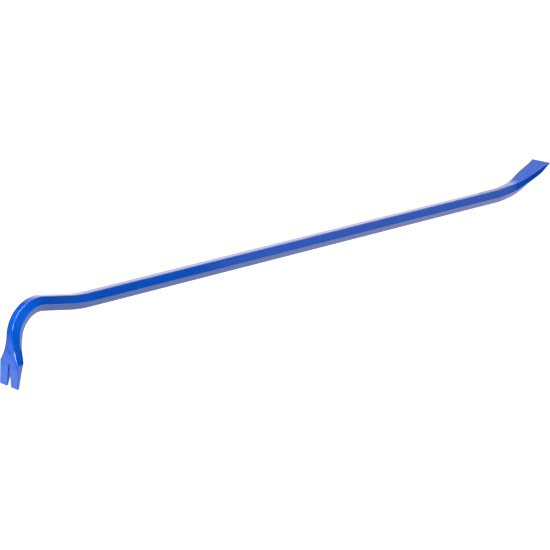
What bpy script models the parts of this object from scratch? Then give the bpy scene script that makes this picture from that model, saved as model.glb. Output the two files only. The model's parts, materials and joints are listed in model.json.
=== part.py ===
"""Gooseneck pry bar: one length of hexagonal steel bar, forged to a claw at one end and a chisel at the other.

The real bar is a single forging under a coat of blue enamel, with nothing that comes apart or moves, so it is
one solid. Its centre line lies in one plane: a long straight shank, a slow rise and a tight hook down to the
slotted claw at one end, and a shallow sweep up to the chisel at the other.

Working frame: the shank's axis is X, with the chisel towards +X and the hook hanging towards -Z. The finished
bar is then tilted about Y until it rests on the floor, on the claw's tips and the chisel's heel, and its origin
is set under the middle of its box.
"""

import math
from collections import namedtuple

import bmesh
import bpy
from mathutils import Matrix, Vector

MM = 0.001

# Driving dimensions
OVERALL_LENGTH = 1000 * MM
ACROSS_FLATS = 19 * MM

# The hook end's centre line, walked outwards from the shank
RISE_RADIUS = 175 * MM
RISE_ANGLE = math.radians(10.3)
RISE_RUN = 40 * MM
HOOK_RADIUS = 34.5 * MM
HOOK_ANGLE = math.radians(96.6)
CLAW_RUN = 65 * MM

# The chisel end's centre line, walked outwards from the shank
SWEEP_RADIUS = 200 * MM
SWEEP_ANGLE = math.radians(6.3)
SWEEP_RUN = 15.5 * MM
KICK_RADIUS = 90 * MM
KICK_ANGLE = math.radians(13.7)
BLADE_RUN = 59 * MM

# The nail slot: a V with a round root
SLOT_LENGTH = 29 * MM
SLOT_MOUTH = 8.8 * MM
SLOT_ROOT_RADIUS = 0.9 * MM

# Forged cross-sections, in millimetres. Half-widths are taken at the face (the hook's outer side and the
# chisel's upper side), at the side corner and at the back; depths go down from the face to the side corner and
# to the back; an ease is how far a rounded corner reaches along the flats beside it.
Station = namedtuple("Station", "to_tip face waist back waist_depth depth face_ease side_ease")

HEXAGON = Station(None, 5.5, 11.0, 5.5, 9.5, 19.0, 1.2, 0.8)

CLAW_STATIONS = [
    Station(0, 18.9, 19.1, 18.5, 1.3, 2.2, 0.3, 0.3),  # tips
    Station(14, 18.8, 19.1, 18.3, 3.4, 5.0, 0.3, 0.4),
    Station(30.5, 18.5, 18.8, 17.6, 7.2, 9.2, 0.4, 0.6),  # shoulders
    Station(32, 17.8, 18.2, 17.1, 7.5, 9.9, 0.8, 0.8),  # heel, behind the slot's root
    Station(39, 13.7, 15.6, 12.3, 8.1, 12.1, 0.9, 0.8),
    Station(47, 9.9, 12.9, 9.6, 8.2, 12.8, 0.9, 0.8),
    Station(59, 6.8, 11.3, 7.1, 8.2, 15.1, 1.2, 0.8),  # neck
    Station(91, 4.7, 11.7, 6.9, 8.4, 18.2, 1.0, 0.8),  # middle of the hook, drawn narrower outside
    HEXAGON._replace(to_tip=127),
]

CHISEL_STATIONS = [
    Station(0, 17.4, 17.5, 17.1, 1.0, 1.6, 0.4, 0.3),  # tip
    Station(8, 16.4, 16.5, 15.7, 3.9, 4.8, 1.0, 0.6),
    Station(22, 15.2, 15.3, 14.5, 7.3, 8.8, 1.2, 0.8),  # top of the bevel
    Station(40, 14.0, 14.4, 12.4, 8.3, 10.2, 1.2, 0.8),  # shoulders
    Station(60, 9.9, 11.8, 8.9, 8.4, 13.6, 1.1, 0.8),
    Station(80, 6.9, 10.7, 5.7, 9.4, 17.9, 0.9, 0.8),
    HEXAGON._replace(to_tip=100),
]

# How finely the surface is stepped
CORNER_STEPS = 3
ROOT_STEPS = 8
BEND_STEP = math.radians(4.5)
FORGED_STEP = 2.5 * MM
SHANK_STEP = 60 * MM

ENAMEL_BLUE = (0.004, 0.08, 0.62, 1.0)
ENAMEL_ROUGHNESS = 0.2

FACE_HEIGHT = ACROSS_FLATS / 2  # the face stays this far above the centre line from end to end


def mix(a, b, t):
    return a + (b - a) * t


def smooth_curve(xs, ys, x):
    """A smooth curve through points, which never overshoots them."""
    gaps = [b - a for a, b in zip(xs, xs[1:])]
    slopes = [(b - a) / gap for a, b, gap in zip(ys, ys[1:], gaps)]
    tangents = [slopes[0]]
    for i in range(1, len(slopes)):
        before, after = slopes[i - 1], slopes[i]
        if before * after <= 0:
            tangents.append(0.0)
        else:
            weight_before = 2 * gaps[i] + gaps[i - 1]
            weight_after = gaps[i] + 2 * gaps[i - 1]
            tangents.append((weight_before + weight_after) / (weight_before / before + weight_after / after))
    tangents.append(slopes[-1])
    i = max(k for k in range(len(gaps)) if xs[k] <= x)
    t = (x - xs[i]) / gaps[i]
    level = ys[i] * (1 + 2 * t) * (1 - t) ** 2 + ys[i + 1] * t * t * (3 - 2 * t)
    lean = tangents[i] * t * (1 - t) ** 2 - tangents[i + 1] * t * t * (1 - t)
    return level + gaps[i] * lean


def section_at(stations, to_tip):
    """The cross-section at a distance from the tip, in metres."""
    columns = list(zip(*stations))
    reach = min(to_tip / MM, columns[0][-1])
    return Station(to_tip, *(smooth_curve(columns[0], column, reach) * MM for column in columns[1:]))


def eased_corner(before, corner, after, reach):
    """Points of a smooth curve that cuts a corner, starting and ending reach away from it."""
    start = corner + (before - corner).normalized() * reach
    end = corner + (after - corner).normalized() * reach
    points = []
    for i in range(CORNER_STEPS + 1):
        t = i / CORNER_STEPS
        points.append(start * (1 - t) ** 2 + corner * 2 * t * (1 - t) + end * t * t)
    return points


def section_outline(section):
    """A cross-section's whole outline as (across, above) points, round from the face's -Y side to its +Y side."""
    face = Vector((section.face, FACE_HEIGHT))
    waist = Vector((section.waist, FACE_HEIGHT - section.waist_depth))
    back = Vector((section.back, FACE_HEIGHT - section.depth))
    half = (
        eased_corner(Vector((0, face.y)), face, waist, section.face_ease)
        + eased_corner(face, waist, back, section.side_ease)
        + eased_corner(waist, back, Vector((0, back.y)), section.side_ease)
    )
    return [Vector((-p.x, p.y)) for p in half] + half[::-1]


class Walk:
    """A centre line walked outwards from the shank, as stops of (along, height, heading, distance)."""

    def __init__(self):
        self.along = self.height = self.heading = self.distance = 0.0
        self.stops = []

    def step(self, chord, length, turn):
        self.along += chord * math.cos(self.heading + turn / 2)
        self.height += chord * math.sin(self.heading + turn / 2)
        self.heading += turn
        self.distance += length
        self.stops.append((self.along, self.height, self.heading, self.distance))

    def straight(self, length):
        count = math.ceil(length / FORGED_STEP)
        for _ in range(count):
            self.step(length / count, length / count, 0)

    def bend(self, radius, angle):
        count = math.ceil(abs(angle) / BEND_STEP)
        chord = 2 * radius * math.sin(abs(angle) / count / 2)
        for _ in range(count):
            self.step(chord, radius * abs(angle) / count, angle / count)


def walk_hook():
    walk = Walk()
    walk.bend(RISE_RADIUS, RISE_ANGLE)
    walk.straight(RISE_RUN)
    walk.bend(HOOK_RADIUS, -HOOK_ANGLE)
    walk.straight(CLAW_RUN)
    return walk.stops


def walk_chisel():
    walk = Walk()
    walk.bend(SWEEP_RADIUS, SWEEP_ANGLE)
    walk.straight(SWEEP_RUN)
    walk.bend(KICK_RADIUS, KICK_ANGLE)
    walk.straight(BLADE_RUN)
    return walk.stops


def hook_up(heading):
    """The direction from the hook's centre line to its outer face."""
    return Vector((math.sin(heading), 0, math.cos(heading)))


def chisel_up(heading):
    """The direction from the chisel's centre line to its upper face."""
    return Vector((-math.sin(heading), 0, math.cos(heading)))


def hook_reach():
    """How far the hook's outer face stands out past the end of the straight shank."""
    return max(along - FACE_HEIGHT * math.sin(heading) for along, _, heading, _ in walk_hook())


def chisel_reach():
    """How far the chisel's edge stands out past the end of the straight shank."""
    along, _, heading, _ = walk_chisel()[-1]
    tip_back = FACE_HEIGHT - CHISEL_STATIONS[0].depth * MM
    return along - tip_back * math.sin(heading)


def ring(section, x, z, up):
    """A cross-section's outline, set at a point of the centre line."""
    return [Vector((x, across, z)) + up * above for across, above in section_outline(section)]


def bar_rings():
    """Every cross-section from the claw's tips to the chisel's tip. X is 0 at the hook's outermost point."""
    hook, chisel = walk_hook(), walk_chisel()
    shank_start = hook_reach()
    shank_end = OVERALL_LENGTH - chisel_reach()
    rings = []
    for along, height, heading, distance in reversed(hook):
        section = section_at(CLAW_STATIONS, hook[-1][3] - distance)
        rings.append(ring(section, shank_start - along, height, hook_up(heading)))
    hexagon = section_at(CLAW_STATIONS, math.inf)
    count = round((shank_end - shank_start) / SHANK_STEP)
    for i in range(count + 1):
        rings.append(ring(hexagon, mix(shank_start, shank_end, i / count), 0, chisel_up(0)))
    for along, height, heading, distance in chisel:
        section = section_at(CHISEL_STATIONS, chisel[-1][3] - distance)
        rings.append(ring(section, shank_end + along, height, chisel_up(heading)))
    return rings


def loft(name, rings):
    """A closed solid through rings of equal length, with a flat cap on each end."""
    mesh = bmesh.new()
    grid = [[mesh.verts.new(point) for point in points] for points in rings]
    count = len(rings[0])
    for near, far in zip(grid, grid[1:]):
        for i in range(count):
            j = (i + 1) % count
            mesh.faces.new((near[i], near[j], far[j], far[i]))
    mesh.faces.new(grid[0][::-1])
    mesh.faces.new(grid[-1])
    bmesh.ops.recalc_face_normals(mesh, faces=mesh.faces)
    data = bpy.data.meshes.new(name)
    mesh.to_mesh(data)
    mesh.free()
    return bpy.data.objects.new(name, data)


def slot_outline():
    """The nail slot in the plane of the claw's face, as (distance from the tips, across) points."""
    root = SLOT_LENGTH - SLOT_ROOT_RADIUS
    mouth = SLOT_MOUTH / 2
    flare = math.acos(SLOT_ROOT_RADIUS / math.hypot(root, mouth)) - math.atan2(root, mouth)
    past_tips = 10 * MM
    side = [(-past_tips, mouth + past_tips * math.tan(flare))]
    for i in range(ROOT_STEPS):
        angle = mix(math.pi / 2 - flare, 0, i / ROOT_STEPS)
        side.append((root + SLOT_ROOT_RADIUS * math.cos(angle), SLOT_ROOT_RADIUS * math.sin(angle)))
    return side + [(SLOT_LENGTH, 0)] + [(to_tip, -across) for to_tip, across in side[::-1]]


def slot_cutter():
    """A prism through the claw, square to its face."""
    along, height, heading, _ = walk_hook()[-1]
    tip = Vector((hook_reach() - along, 0, height))
    up = hook_up(heading)
    to_shank = Vector((math.cos(heading), 0, -math.sin(heading)))
    above_face = [tip + to_shank * d + Vector((0, y, 0)) + up * ACROSS_FLATS for d, y in slot_outline()]
    below_back = [point - up * 2 * ACROSS_FLATS for point in above_face]
    return loft("nail_slot_cutter", [above_face, below_back])


def resting_tilt(points):
    """How far the bar tips about Y to stand on the claw's tips and the chisel's heel."""
    tilt = 0.0
    middle = OVERALL_LENGTH / 2
    for _ in range(4):
        turn = Matrix.Rotation(tilt, 3, "Y")
        foot = min((turn @ p for p in points if p.x < middle), key=lambda p: p.z)
        slopes = [math.atan2(q.z - foot.z, q.x - foot.x) for q in (turn @ p for p in points if p.x > middle)]
        tilt += min(slopes)
    return tilt


def rest_on_floor(bar):
    """The placement that stands the bar on its two feet, with the origin under the middle of its box."""
    points = [vertex.co.copy() for vertex in bar.data.vertices]
    turn = Matrix.Rotation(resting_tilt(points), 4, "Y")
    turned = [turn @ p for p in points]
    low = Vector([min(p[axis] for p in turned) for axis in range(3)])
    high = Vector([max(p[axis] for p in turned) for axis in range(3)])
    middle = (low + high) / 2
    return Matrix.Translation((-middle.x, -middle.y, -low.z)) @ turn


def enamel():
    made = bpy.data.materials.new("blue_enamel")
    made.use_nodes = True
    shader = made.node_tree.nodes["Principled BSDF"]
    shader.inputs["Base Color"].default_value = ENAMEL_BLUE
    shader.inputs["Metallic"].default_value = 0.0
    shader.inputs["Roughness"].default_value = ENAMEL_ROUGHNESS
    return made


def new_collection(name):
    made = bpy.data.collections.new(name)
    bpy.context.scene.collection.children.link(made)
    return made


def main():
    for old in list(bpy.data.objects):
        bpy.data.objects.remove(old)

    bar = loft("forged_bar", bar_rings())
    bar.data.materials.append(enamel())
    new_collection("pry_bar").objects.link(bar)

    cutter = slot_cutter()
    cutter.hide_render = True
    cutter.display_type = "WIRE"
    new_collection("cutters").objects.link(cutter)

    slot = bar.modifiers.new("nail_slot", "BOOLEAN")
    slot.operation = "DIFFERENCE"
    slot.solver = "EXACT"
    slot.object = cutter

    placed = rest_on_floor(bar)
    bar.matrix_world = placed
    cutter.matrix_world = placed


main()
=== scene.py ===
"""Looks of the gooseneck pry bar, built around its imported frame.

The bar is one forging, so it is one piece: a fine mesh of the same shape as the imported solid, with rounded
tips and slot rims, the slight unevenness of forged steel, and a glossy blue enamel.

Working frame: the shank's axis is X, with the chisel towards +X and the hook hanging towards -Z, and X is 0
at the claw's tips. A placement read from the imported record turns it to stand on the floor.
"""

import json
import math
from collections import namedtuple

import bmesh
import bpy
from mathutils import Matrix, Vector, noise


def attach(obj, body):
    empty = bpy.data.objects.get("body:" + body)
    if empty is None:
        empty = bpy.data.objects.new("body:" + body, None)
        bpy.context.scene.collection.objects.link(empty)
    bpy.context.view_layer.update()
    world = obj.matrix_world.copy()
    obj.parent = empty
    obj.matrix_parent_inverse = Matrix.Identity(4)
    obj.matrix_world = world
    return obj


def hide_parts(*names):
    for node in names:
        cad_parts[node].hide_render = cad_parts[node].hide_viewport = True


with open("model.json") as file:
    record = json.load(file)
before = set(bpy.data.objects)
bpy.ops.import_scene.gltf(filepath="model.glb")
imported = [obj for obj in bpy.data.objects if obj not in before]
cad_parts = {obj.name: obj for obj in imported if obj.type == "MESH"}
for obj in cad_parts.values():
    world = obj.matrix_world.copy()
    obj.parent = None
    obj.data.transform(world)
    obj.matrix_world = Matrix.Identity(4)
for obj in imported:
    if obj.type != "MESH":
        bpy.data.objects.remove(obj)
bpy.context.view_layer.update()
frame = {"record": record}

MM = 0.001
TINY = 1e-7

# ---------------------------------------------------------------- the bar's shape

OVERALL_LENGTH = 1000 * MM
ACROSS_FLATS = 19 * MM
FACE_HEIGHT = ACROSS_FLATS / 2  # the face stays this far above the centre line from end to end

# A centre line's stretches outwards from the shank, as (length, turn)
Stretch = namedtuple("Stretch", "length turn")


def bend(radius, degrees):
    turn = math.radians(degrees)
    return Stretch(radius * abs(turn), turn)


HOOK_LINE = [bend(175 * MM, 10.3), Stretch(40 * MM, 0), bend(34.5 * MM, -96.6), Stretch(65 * MM, 0)]
CHISEL_LINE = [bend(200 * MM, 6.3), Stretch(15.5 * MM, 0), bend(90 * MM, 13.7), Stretch(59 * MM, 0)]

# The nail slot: a V with a round root
SLOT_LENGTH = 29 * MM
SLOT_MOUTH = 8.8 * MM
SLOT_ROOT_RADIUS = 0.9 * MM

# Forged cross-sections, in millimetres. Half-widths are taken at the face (the hook's outer side and the
# chisel's upper side), at the side corner and at the back; depths go down from the face to the side corner
# and to the back; an ease is how far a rounded corner reaches along the flats beside it.
Station = namedtuple("Station", "to_tip face waist back waist_depth depth face_ease side_ease")

HEXAGON = Station(None, 5.5, 11.0, 5.5, 9.5, 19.0, 1.2, 0.8)

CLAW_STATIONS = [
    Station(0, 18.9, 19.1, 18.5, 1.3, 2.2, 0.3, 0.3),  # tips
    Station(14, 18.8, 19.1, 18.3, 3.4, 5.0, 0.3, 0.4),
    Station(30.5, 18.5, 18.8, 17.6, 7.2, 9.2, 0.4, 0.6),  # shoulders
    Station(32, 17.8, 18.2, 17.1, 7.5, 9.9, 0.8, 0.8),  # heel, behind the slot's root
    Station(39, 13.7, 15.6, 12.3, 8.1, 12.1, 0.9, 0.8),
    Station(47, 9.9, 12.9, 9.6, 8.2, 12.8, 0.9, 0.8),
    Station(59, 6.8, 11.3, 7.1, 8.2, 15.1, 1.2, 0.8),  # neck
    Station(91, 4.7, 11.7, 6.9, 8.4, 18.2, 1.0, 0.8),  # middle of the hook, drawn narrower outside
    HEXAGON._replace(to_tip=127),
]

CHISEL_STATIONS = [
    Station(0, 17.4, 17.5, 17.1, 1.0, 1.6, 0.4, 0.3),  # tip
    Station(8, 16.4, 16.5, 15.7, 3.9, 4.8, 1.0, 0.6),
    Station(22, 15.2, 15.3, 14.5, 7.3, 8.8, 1.2, 0.8),  # top of the bevel
    Station(40, 14.0, 14.4, 12.4, 8.3, 10.2, 1.2, 0.8),  # shoulders
    Station(60, 9.9, 11.8, 8.9, 8.4, 13.6, 1.1, 0.8),
    Station(80, 6.9, 10.7, 5.7, 9.4, 17.9, 0.9, 0.8),
    HEXAGON._replace(to_tip=100),
]

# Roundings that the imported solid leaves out
TIP_ROUND = 0.5 * MM  # over the thickness of the claw's and the chisel's ends
CLAW_CORNER = 1.3 * MM  # the tines' outer corners, seen square to the face
SLOT_CORNER = 1.0 * MM  # the tines' inner corners
CHISEL_CORNER = 0.6 * MM
SLOT_RIM = 0.35 * MM  # where the slot's wall meets the face and the back

# Where the claw flares out its edges are chamfers, more than rounds. As distances from the tips, the chamfer
# comes in over the first pair and goes out over the second.
FLARE_CHAMFER = 0.8
FLARE_START = (30.5 * MM, 33 * MM)
FLARE_END = (45 * MM, 50 * MM)

# How finely the surface is stepped
ROUND_STEPS = 5
CORNER_STEPS = 6
FACE_STEPS = 6
SIDE_STEPS = 6
WALL_STEPS = 8
ROOT_STEPS = 9
FORGED_STEP = 1.0 * MM
BEND_STEP = 1.3 * MM
SHANK_STEP = 4.0 * MM
SLOT_APRON = [0.9 * MM, 1.3 * MM, 1.9 * MM, 2.7 * MM]  # extra columns beside the slot's rim
APRON_END = (35 * MM, 70 * MM)  # over these distances from the tips the columns spread out evenly again
LEAST_GAP = 0.35 * FORGED_STEP  # between an evenly spaced cross-section and one that a detail needs

# Slight unevenness of hot-worked steel: how deep the waves are, and their length. The quick waves fade out
# along the shank, over these distances from either end of the bar.
FORGED_WAVE_DEPTH = 0.05 * MM
FORGED_WAVE_LENGTH = 14 * MM
FORGED_WAVE_PLACE = Vector((7, 3, 5))
FORGED_WAVE_FADE = (130 * MM, 190 * MM)
FORGED_WAVE_ON_SHANK = 0.15
SHANK_WAVE_DEPTH = 0.035 * MM
SHANK_WAVE_LENGTH = 55 * MM


def mix(a, b, t):
    return a + (b - a) * t


def smooth_step(low, high, x):
    t = min(max((x - low) / (high - low), 0.0), 1.0)
    return t * t * (3 - 2 * t)


def smooth_curve(xs, ys, x):
    """A smooth curve through points, which never overshoots them."""
    gaps = [b - a for a, b in zip(xs, xs[1:])]
    slopes = [(b - a) / gap for a, b, gap in zip(ys, ys[1:], gaps)]
    tangents = [slopes[0]]
    for i in range(1, len(slopes)):
        before, after = slopes[i - 1], slopes[i]
        if before * after <= 0:
            tangents.append(0.0)
        else:
            weight_before = 2 * gaps[i] + gaps[i - 1]
            weight_after = gaps[i] + 2 * gaps[i - 1]
            tangents.append((weight_before + weight_after) / (weight_before / before + weight_after / after))
    tangents.append(slopes[-1])
    i = max(k for k in range(len(gaps)) if xs[k] <= x)
    t = (x - xs[i]) / gaps[i]
    level = ys[i] * (1 + 2 * t) * (1 - t) ** 2 + ys[i + 1] * t * t * (3 - 2 * t)
    lean = tangents[i] * t * (1 - t) ** 2 - tangents[i + 1] * t * t * (1 - t)
    return level + gaps[i] * lean


def rounding(distance, radius):
    """How far a quarter-round edge falls away, at a distance inwards from where it ends."""
    if distance >= radius:
        return 0.0
    return radius - math.sqrt(radius**2 - (radius - max(distance, 0.0)) ** 2)


def quarter_steps(radius):
    """Distances inwards from an edge that step evenly round its quarter-round."""
    return [radius * (1 - math.cos(math.pi / 2 * i / ROUND_STEPS)) for i in range(ROUND_STEPS + 1)]


class Slot:
    """The nail slot's outline in the plane of the claw's face."""

    centre = SLOT_LENGTH - SLOT_ROOT_RADIUS
    half_mouth = SLOT_MOUTH / 2
    flare = math.acos(SLOT_ROOT_RADIUS / math.hypot(centre, half_mouth)) - math.atan2(centre, half_mouth)

    @classmethod
    def half_width(cls, to_tip):
        """Half the slot's width at a distance from the tips."""
        if to_tip >= SLOT_LENGTH:
            return 0.0
        if to_tip <= cls.centre + SLOT_ROOT_RADIUS * math.sin(cls.flare):
            straight = cls.half_mouth - to_tip * math.tan(cls.flare)
            return straight + rounding(to_tip, SLOT_CORNER)
        return math.sqrt(max(SLOT_ROOT_RADIUS**2 - (to_tip - cls.centre) ** 2, 0.0))

    @classmethod
    def distance(cls, to_tip, across):
        """How far a point of the claw is from the slot's wall."""
        past_centre = to_tip - cls.centre
        if across * math.sin(cls.flare) - past_centre * math.cos(cls.flare) >= 0:
            return past_centre * math.sin(cls.flare) + across * math.cos(cls.flare) - SLOT_ROOT_RADIUS
        return math.hypot(past_centre, across) - SLOT_ROOT_RADIUS

    @classmethod
    def root_stops(cls):
        """Distances from the tips that step evenly round the root, then over its rim."""
        stops = []
        for i in range(ROOT_STEPS):
            angle = mix(cls.flare, math.pi / 2, i / ROOT_STEPS)
            stops.append(cls.centre + SLOT_ROOT_RADIUS * math.sin(angle))
        return stops + [SLOT_LENGTH + step for step in quarter_steps(SLOT_RIM) + SLOT_APRON]


def section_at(stations, to_tip, corner):
    """The cross-section at a distance from the tip, drawn in towards the tip by its roundings, in metres."""
    columns = list(zip(*stations))
    reach = min(to_tip / MM, columns[0][-1])
    made = Station(to_tip, *(smooth_curve(columns[0], column, reach) * MM for column in columns[1:]))
    narrower = rounding(to_tip, corner)
    return made._replace(face=made.face - narrower, waist=made.waist - narrower, back=made.back - narrower)


def eased_corner(before, corner, after, reach, flatness=0.0):
    """Points that cut a corner, from and to a reach away from it: a curve, or at flatness 1 a chamfer."""
    start = corner + (before - corner).normalized() * reach
    end = corner + (after - corner).normalized() * reach
    points = []
    for i in range(CORNER_STEPS + 1):
        t = i / CORNER_STEPS
        curved = start * (1 - t) ** 2 + corner * 2 * t * (1 - t) + end * t * t
        points.append(curved.lerp(start.lerp(end, t), flatness))
    return points


def columns_across(inner, outer, crowd):
    """Places across a flat, from its middle or the slot's wall to its corner, crowded beside the slot."""
    apron = quarter_steps(SLOT_RIM) + SLOT_APRON
    count = len(apron) - 1 + FACE_STEPS
    places = []
    for i in range(count):
        even = mix(inner, outer, i / count)
        if i < len(apron):
            crowded = inner + apron[i]
        else:
            crowded = mix(inner + apron[-1], outer, (i + 1 - len(apron)) / FACE_STEPS)
        places.append(mix(even, crowded, crowd))
    return places


def half_outline(section, slotted):
    """The +Y half of a cross-section as (across, above) points, from the middle of the face to the back's."""
    to_tip = section.to_tip
    thinner = rounding(to_tip, TIP_ROUND)
    face = Vector((section.face, FACE_HEIGHT - thinner))
    waist = Vector((section.waist, FACE_HEIGHT - section.waist_depth))
    back = Vector((section.back, FACE_HEIGHT - section.depth + thinner))
    flatness = inner = crowd = 0.0
    if slotted:
        flatness = FLARE_CHAMFER * smooth_step(*FLARE_START, to_tip) * (1 - smooth_step(*FLARE_END, to_tip))
        inner = Slot.half_width(to_tip)
        crowd = 1 - smooth_step(*APRON_END, to_tip)
    corners = (
        eased_corner(Vector((0, face.y)), face, waist, section.face_ease, flatness),
        eased_corner(face, waist, back, section.side_ease),
        eased_corner(waist, back, Vector((0, back.y)), section.side_ease),
    )
    on_face = [Vector((across, face.y)) for across in columns_across(inner, corners[0][0].x, crowd)]
    on_back = [Vector((across, back.y)) for across in columns_across(inner, corners[2][-1].x, crowd)]
    if slotted:
        for flat, inwards in ((on_face, -1), (on_back, 1)):
            for point in flat:
                point.y += inwards * rounding(Slot.distance(to_tip, point.x), SLOT_RIM)
    points = list(on_face)
    for corner, following in zip(corners, corners[1:]):
        points += corner
        points += [corner[-1].lerp(following[0], i / SIDE_STEPS) for i in range(1, SIDE_STEPS)]
    return points + corners[2] + on_back[::-1]


def line_point(line, distance):
    """Where a centre line is, (along, height, heading), at a distance outwards from the shank."""
    along = height = heading = 0.0
    for stretch in line:
        run = min(distance, stretch.length)
        turn = stretch.turn * run / stretch.length
        chord = run if not turn else run * math.sin(turn / 2) / (turn / 2)
        along += chord * math.cos(heading + turn / 2)
        height += chord * math.sin(heading + turn / 2)
        heading += turn
        distance -= run
    return along, height, heading


def line_length(line):
    return sum(stretch.length for stretch in line)


def line_stops(line, extra_to_tip):
    """Distances from the tip at which the bar gets a cross-section, in order from the tip."""
    length = line_length(line)
    stops = {0.0, length}
    start = 0.0
    for stretch in line:
        step = BEND_STEP if stretch.turn else FORGED_STEP
        count = math.ceil(stretch.length / step)
        stops.update(length - start - stretch.length * i / count for i in range(count))
        start += stretch.length
    fixed = sorted(set(extra_to_tip) | {0.0, length})
    kept = [stop for stop in stops if all(abs(stop - other) > LEAST_GAP for other in fixed)]
    return sorted(kept + fixed)


def hook_up(heading):
    """The direction from the hook's centre line to its outer face."""
    return Vector((math.sin(heading), 0, math.cos(heading)))


def chisel_up(heading):
    """The direction from the chisel's centre line to its upper face."""
    return Vector((-math.sin(heading), 0, math.cos(heading)))


def shank_ends():
    """X where the straight shank starts, at the hook, and ends, at the chisel."""
    along, _, heading = line_point(HOOK_LINE, line_length(HOOK_LINE))
    start = along - FACE_HEIGHT * math.sin(heading)
    along, _, heading = line_point(CHISEL_LINE, line_length(CHISEL_LINE))
    tip_back = FACE_HEIGHT - CHISEL_STATIONS[0].depth * MM
    return start, OVERALL_LENGTH - (along - tip_back * math.sin(heading))


# The +Y half of a cross-section, in place, and whether the slot goes through it
Ring = namedtuple("Ring", "split points")


def half_rings():
    """The +Y half of every cross-section, from the claw's tips to the chisel's."""
    start, end = shank_ends()
    rings = []

    def add(outline, split, x, z, up):
        rings.append(Ring(split, [Vector((x, across, z)) + up * above for across, above in outline]))

    hook_length = line_length(HOOK_LINE)
    claw_detail = quarter_steps(TIP_ROUND) + quarter_steps(CLAW_CORNER) + Slot.root_stops()
    for to_tip in line_stops(HOOK_LINE, claw_detail):
        along, height, heading = line_point(HOOK_LINE, hook_length - to_tip)
        outline = half_outline(section_at(CLAW_STATIONS, to_tip, CLAW_CORNER), True)
        add(outline, to_tip <= SLOT_LENGTH + TINY, start - along, height, hook_up(heading))

    outline = half_outline(section_at(CLAW_STATIONS, math.inf, CLAW_CORNER), False)
    count = round((end - start) / SHANK_STEP)
    for i in range(1, count):
        add(outline, False, mix(start, end, i / count), 0, Vector((0, 0, 1)))

    chisel_length = line_length(CHISEL_LINE)
    chisel_detail = quarter_steps(TIP_ROUND) + quarter_steps(CHISEL_CORNER)
    for to_tip in reversed(line_stops(CHISEL_LINE, chisel_detail)):
        along, height, heading = line_point(CHISEL_LINE, chisel_length - to_tip)
        outline = half_outline(section_at(CHISEL_STATIONS, to_tip, CHISEL_CORNER), False)
        add(outline, False, end + along, height, chisel_up(heading))
    return rings


def side_points(mesh, rings, side, middle):
    """One half's vertices, ring by ring. Points on the plane of symmetry are shared with the other half."""
    grid = []
    for row, ring in enumerate(rings):
        made = []
        for column, point in enumerate(ring.points):
            shared = point.y < TINY
            if shared and (row, column) in middle:
                made.append(middle[row, column])
                continue
            vertex = mesh.verts.new((point.x, point.y * side, point.z))
            if shared:
                middle[row, column] = vertex
            made.append(vertex)
        grid.append(made)
    return grid


def slot_wall(mesh, rings, grid, middle):
    """The slot's wall on one half, from the face's rim to the back's."""
    walls = []
    for row, ring in enumerate(rings):
        if not ring.split:
            break
        rim, foot = grid[row][0], grid[row][-1]
        wall = [rim]
        for i in range(1, WALL_STEPS):
            key = (row, -i)
            if key in middle:
                wall.append(middle[key])
                continue
            vertex = mesh.verts.new(rim.co.lerp(foot.co, i / WALL_STEPS))
            if abs(rim.co.y) < TINY:
                middle[key] = vertex
            wall.append(vertex)
        walls.append(wall + [foot])
    return walls


def skin(mesh, rows):
    """Faces between neighbouring rows of vertices."""
    for near, far in zip(rows, rows[1:]):
        for i in range(len(near) - 1):
            mesh.faces.new((near[i], near[i + 1], far[i + 1], far[i]))


def forged_waves(point):
    """How far the real surface stands off the drawn one, in metres."""
    forged = 1 - smooth_step(*FORGED_WAVE_FADE, min(point.x, OVERALL_LENGTH - point.x))
    slow = noise.noise(point / SHANK_WAVE_LENGTH) * SHANK_WAVE_DEPTH
    quick = noise.noise(point / FORGED_WAVE_LENGTH + FORGED_WAVE_PLACE) * FORGED_WAVE_DEPTH
    return slow + quick * mix(FORGED_WAVE_ON_SHANK, 1.0, forged)


def bar_mesh():
    rings = half_rings()
    mesh = bmesh.new()
    middle = {}
    for side in (1, -1):
        grid = side_points(mesh, rings, side, middle)
        walls = slot_wall(mesh, rings, grid, middle)
        skin(mesh, grid)
        skin(mesh, walls)
        mesh.faces.new(grid[0][:-1] + walls[0][::-1][:-1])
        mesh.faces.new(grid[-1])
    bmesh.ops.recalc_face_normals(mesh, faces=mesh.faces)
    mesh.normal_update()
    offsets = [vertex.normal * forged_waves(vertex.co) for vertex in mesh.verts]
    for vertex, offset in zip(mesh.verts, offsets):
        vertex.co += offset
    for face in mesh.faces:
        face.smooth = True
    data = bpy.data.meshes.new("enamelled_bar")
    mesh.to_mesh(data)
    mesh.free()
    return data


def placement():
    """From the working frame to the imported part's, by the mount in the middle of the shank's top flat."""
    mount = next(m for m in frame["record"]["mounts"] if m["name"] == "shank_upper_flat")
    x, _, z = mount["axis"]
    turn = Matrix.Rotation(math.atan2(x, z), 4, "Y")
    on_flat = Vector((OVERALL_LENGTH / 2, 0, FACE_HEIGHT))
    return Matrix.Translation(Vector(mount["pos_m"]) - turn @ on_flat) @ turn


# ---------------------------------------------------------------- materials

ENAMEL_BLUE = (0.0, 0.102, 0.64)
ENAMEL_THIN = (0.0, 0.085, 0.57)


class Nodes:
    """A material's node tree, with a short way to add and join nodes."""

    def __init__(self, name):
        self.material = bpy.data.materials.new(name)
        self.material.use_nodes = True
        self.tree = self.material.node_tree
        self.shader = self.tree.nodes["Principled BSDF"]

    def add(self, kind, **values):
        node = self.tree.nodes.new(kind)
        for key, value in values.items():
            if hasattr(node, key):
                setattr(node, key, value)
            else:
                node.inputs[key.replace("_", " ")].default_value = value
        return node

    def join(self, source, target):
        self.tree.links.new(source, target)


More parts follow.
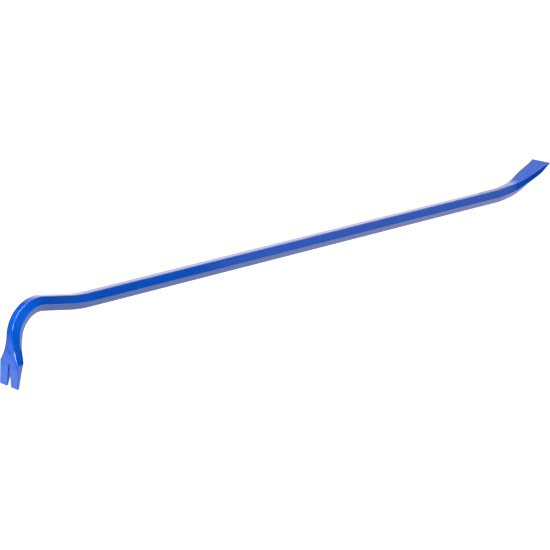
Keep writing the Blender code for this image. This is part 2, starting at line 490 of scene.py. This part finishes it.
def noise_texture(nodes, place, scale, detail, roughness=0.5):
    texture = nodes.add("ShaderNodeTexNoise", Scale=scale, Detail=detail, Roughness=roughness)
    nodes.join(place, texture.inputs["Vector"])
    return texture.outputs["Fac"]


def spread(nodes, source, low, high):
    """A noise's usual range, 0.3 to 0.7, stretched to the given one."""
    ranged = nodes.add("ShaderNodeMapRange", From_Min=0.3, From_Max=0.7, To_Min=low, To_Max=high)
    nodes.join(source, ranged.inputs["Value"])
    return ranged.outputs["Result"]


def enamel():
    """Glossy blue dip enamel over forged steel: a little uneven in depth, with a fine orange peel."""
    nodes = Nodes("blue_enamel")
    shader = nodes.shader
    shader.inputs["Metallic"].default_value = 0.0
    shader.inputs["IOR"].default_value = 1.5
    shader.inputs["Coat Weight"].default_value = 1.0
    shader.inputs["Coat Roughness"].default_value = 0.06
    place = nodes.add("ShaderNodeTexCoord").outputs["Object"]

    depth = noise_texture(nodes, place, 45.0, 3.0)
    colour = nodes.add("ShaderNodeMix", data_type="RGBA")
    nodes.join(spread(nodes, depth, 0.0, 1.0), colour.inputs["Factor"])
    colour.inputs["A"].default_value = (*ENAMEL_THIN, 1.0)
    colour.inputs["B"].default_value = (*ENAMEL_BLUE, 1.0)
    nodes.join(colour.outputs["Result"], shader.inputs["Base Color"])

    dullness = noise_texture(nodes, place, 120.0, 2.0)
    nodes.join(spread(nodes, dullness, 0.14, 0.22), shader.inputs["Roughness"])

    peel = nodes.add("ShaderNodeBump", Strength=0.2, Distance=0.00004)
    nodes.join(noise_texture(nodes, place, 700.0, 2.0), peel.inputs["Height"])
    sag = nodes.add("ShaderNodeBump", Strength=0.25, Distance=0.0002)
    nodes.join(noise_texture(nodes, place, 110.0, 2.0), sag.inputs["Height"])
    nodes.join(peel.outputs["Normal"], sag.inputs["Normal"])
    nodes.join(sag.outputs["Normal"], shader.inputs["Normal"])
    nodes.join(sag.outputs["Normal"], shader.inputs["Coat Normal"])
    return nodes.material


def pale_floor():
    """A white table that glows, so that shadows on it are too faint to see."""
    nodes = Nodes("pale_floor")
    shader = nodes.shader
    shader.inputs["Base Color"].default_value = (0.35, 0.35, 0.35, 1.0)
    shader.inputs["Roughness"].default_value = 0.9
    shader.inputs["Specular IOR Level"].default_value = 0.0
    shader.inputs["Emission Color"].default_value = (1.0, 1.0, 1.0, 1.0)
    shader.inputs["Emission Strength"].default_value = FLOOR_GLOW
    return nodes.material


# ---------------------------------------------------------------- the studio

FLOOR_SIZE = 30.0
FLOOR_GLOW = 1.0

# What the room around the set gives off, as radiance
ROOM_FILL = 0.20  # on matt surfaces, from every side
ROOM_DARK = 0.02  # seen in gloss above the table
TABLE_WHITE = 0.95  # seen in gloss below it

# A direction points at the table when its product with this vector is under the level
TABLE_EDGE = (0.05, -0.07, 1.0)
TABLE_EDGE_LEVEL = -0.274
TABLE_EDGE_BLUR = 0.002

# The camera looks at a point of the shank's plane, from this side of the shank's axis and this far above it
CAMERA_AIM = Vector((443.7, 0, -33.4)) * MM
CAMERA_SIDE = math.radians(42.45)
CAMERA_ABOVE = math.radians(16.12)
CAMERA_ROLL = math.radians(0.533)
CAMERA_DISTANCE = 2697 * MM
SENSOR = 36.0
LENS = 129.55

# The screen behind the bar, as (middle's height, height, radiance)
BACKDROP_BANDS = ((0.7, 1.6, 1.2), (1.6, 0.2, 0.95), (1.8, 0.2, 0.75), (2.0, 0.2, 0.55), (2.65, 1.1, 0.36))


def add_floor():
    """A white table top that only the camera sees. What it gives the bar comes from the room."""
    half = FLOOR_SIZE / 2
    data = bpy.data.meshes.new("floor")
    corners = [(-half, -half, 0), (half, -half, 0), (half, half, 0), (-half, half, 0)]
    data.from_pydata(corners, [], [(0, 1, 2, 3)])
    data.materials.append(pale_floor())
    floor = bpy.data.objects.new("floor", data)
    bpy.context.scene.collection.objects.link(floor)
    floor.visible_diffuse = False
    floor.visible_glossy = False
    floor.visible_shadow = False


def add_panel(name, centre, facing, width, height, radiance, on_matt=True, on_gloss=True):
    """A rectangular soft light, whose width stays level. The camera doesn't see it."""
    data = bpy.data.lights.new(name, "AREA")
    data.shape = "RECTANGLE"
    data.size = width
    data.size_y = height
    data.energy = radiance * math.pi * width * height
    light = bpy.data.objects.new(name, data)
    bpy.context.scene.collection.objects.link(light)
    light.location = centre
    away = Vector(centre) - Vector(facing)
    light.rotation_euler = away.to_track_quat("Z", "Y").to_euler()
    light.visible_camera = False
    light.visible_diffuse = on_matt
    light.visible_glossy = on_gloss


def add_lights():
    """Soft lights that colour the enamel, and panels that only its gloss shows."""
    hook = (-0.5, 0.0, 0.05)
    add_panel("key", (-2.30, -0.20, 0.80), hook, 0.64, 0.64, 34.0, on_gloss=False)
    add_panel("key_glint", (-2.20, -0.56, 0.78), hook, 0.6, 0.6, 15.0, on_matt=False)
    add_panel("high_glint", (-1.65, -0.52, 2.1), hook, 0.6, 2.2, 12.0, on_matt=False)
    add_panel("overhead", (0.5, 0.05, 1.6), (0.5, 0.05, 0.0), 4.6, 0.9, 2.7)
    add_panel("front_fill", (0.3, -3.0, 0.5), (0.3, 0.0, 0.0), 3.0, 1.5, 0.9, on_gloss=False)
    add_panel("table_bounce", (0.3, -1.2, -1.5), (0.3, 0.0, 0.0), 3.0, 2.0, 0.35, on_gloss=False)

    # The screen gets dimmer upwards in bands, and has a dimmer wing at its side
    for level, height, radiance in BACKDROP_BANDS:
        add_panel("backdrop", (1.45, 2.63, level), (0.0, 0.0, level), 2.7, height, radiance)
    add_panel("backdrop_side", (3.09, 1.76, 0.70), (1.68, -0.88, 0.70), 1.0, 1.6, 0.75)

    add_panel("front_card", (1.15, -0.62, 0.47), (0.5, 0.0, 0.02), 0.9, 0.5, 0.35, on_matt=False)
    add_panel("table_card", (-0.33, -0.27, -0.05), (-0.5, 0.0, 0.02), 0.25, 0.16, 1.6, on_matt=False)


def add_room():
    """A dim room: an even fill on matt surfaces, a white table and dark walls in gloss, white to the camera."""
    world = bpy.data.worlds.new("room")
    world.use_nodes = True
    world.cycles.sampling_method = "NONE"
    tree = world.node_tree
    add, join = tree.nodes.new, tree.links.new

    def glow(strength):
        node = add("ShaderNodeBackground")
        node.inputs["Color"].default_value = (1.0, 1.0, 1.0, 1.0)
        node.inputs["Strength"].default_value = strength
        return node

    def choose(factor, without, within):
        node = add("ShaderNodeMixShader")
        join(factor, node.inputs["Fac"])
        join(without, node.inputs[1])
        join(within, node.inputs[2])
        return node.outputs["Shader"]

    tree.nodes.remove(tree.nodes["Background"])
    path = add("ShaderNodeLightPath")
    direction = add("ShaderNodeTexCoord")
    product = add("ShaderNodeVectorMath")
    product.operation = "DOT_PRODUCT"
    product.inputs[1].default_value = TABLE_EDGE
    join(direction.outputs["Generated"], product.inputs[0])
    below = add("ShaderNodeMapRange")
    below.interpolation_type = "SMOOTHSTEP"
    below.inputs["From Min"].default_value = TABLE_EDGE_LEVEL + TABLE_EDGE_BLUR
    below.inputs["From Max"].default_value = TABLE_EDGE_LEVEL - TABLE_EDGE_BLUR
    join(product.outputs["Value"], below.inputs["Value"])
    gloss = glow(1.0)
    level = add("ShaderNodeMapRange")
    level.inputs["To Min"].default_value = ROOM_DARK
    level.inputs["To Max"].default_value = TABLE_WHITE
    join(below.outputs["Result"], level.inputs["Value"])
    join(level.outputs["Result"], gloss.inputs["Strength"])
    seen = choose(path.outputs["Is Diffuse Ray"], gloss.outputs[0], glow(ROOM_FILL).outputs[0])
    seen = choose(path.outputs["Is Camera Ray"], seen, glow(1.0).outputs[0])
    join(seen, tree.nodes["World Output"].inputs["Surface"])
    bpy.context.scene.world = world


def add_camera(placed):
    forward = Vector(
        (
            math.sin(CAMERA_SIDE) * math.cos(CAMERA_ABOVE),
            math.cos(CAMERA_SIDE) * math.cos(CAMERA_ABOVE),
            -math.sin(CAMERA_ABOVE),
        )
    )
    level = Vector((math.cos(CAMERA_SIDE), -math.sin(CAMERA_SIDE), 0))
    upright = level.cross(forward)
    right = level * math.cos(CAMERA_ROLL) - upright * math.sin(CAMERA_ROLL)
    up = upright * math.cos(CAMERA_ROLL) + level * math.sin(CAMERA_ROLL)
    seat = Matrix((right, up, -forward)).transposed().to_4x4()
    seat.translation = CAMERA_AIM - forward * CAMERA_DISTANCE
    data = bpy.data.cameras.new("camera")
    data.sensor_width = SENSOR
    data.lens = LENS
    data.clip_end = 100.0
    camera = bpy.data.objects.new("camera", data)
    bpy.context.scene.collection.objects.link(camera)
    camera.matrix_world = placed @ seat
    bpy.context.scene.camera = camera


def main():
    placed = placement()

    bar = bpy.data.objects.new("enamelled_bar", bar_mesh())
    bpy.context.scene.collection.objects.link(bar)
    bar.data.transform(placed)
    bar.data.materials.append(enamel())
    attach(bar, "root")
    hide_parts("forged_bar")

    add_floor()
    add_room()
    add_lights()
    add_camera(placed)
    bpy.context.scene.view_settings.view_transform = "Standard"


main()
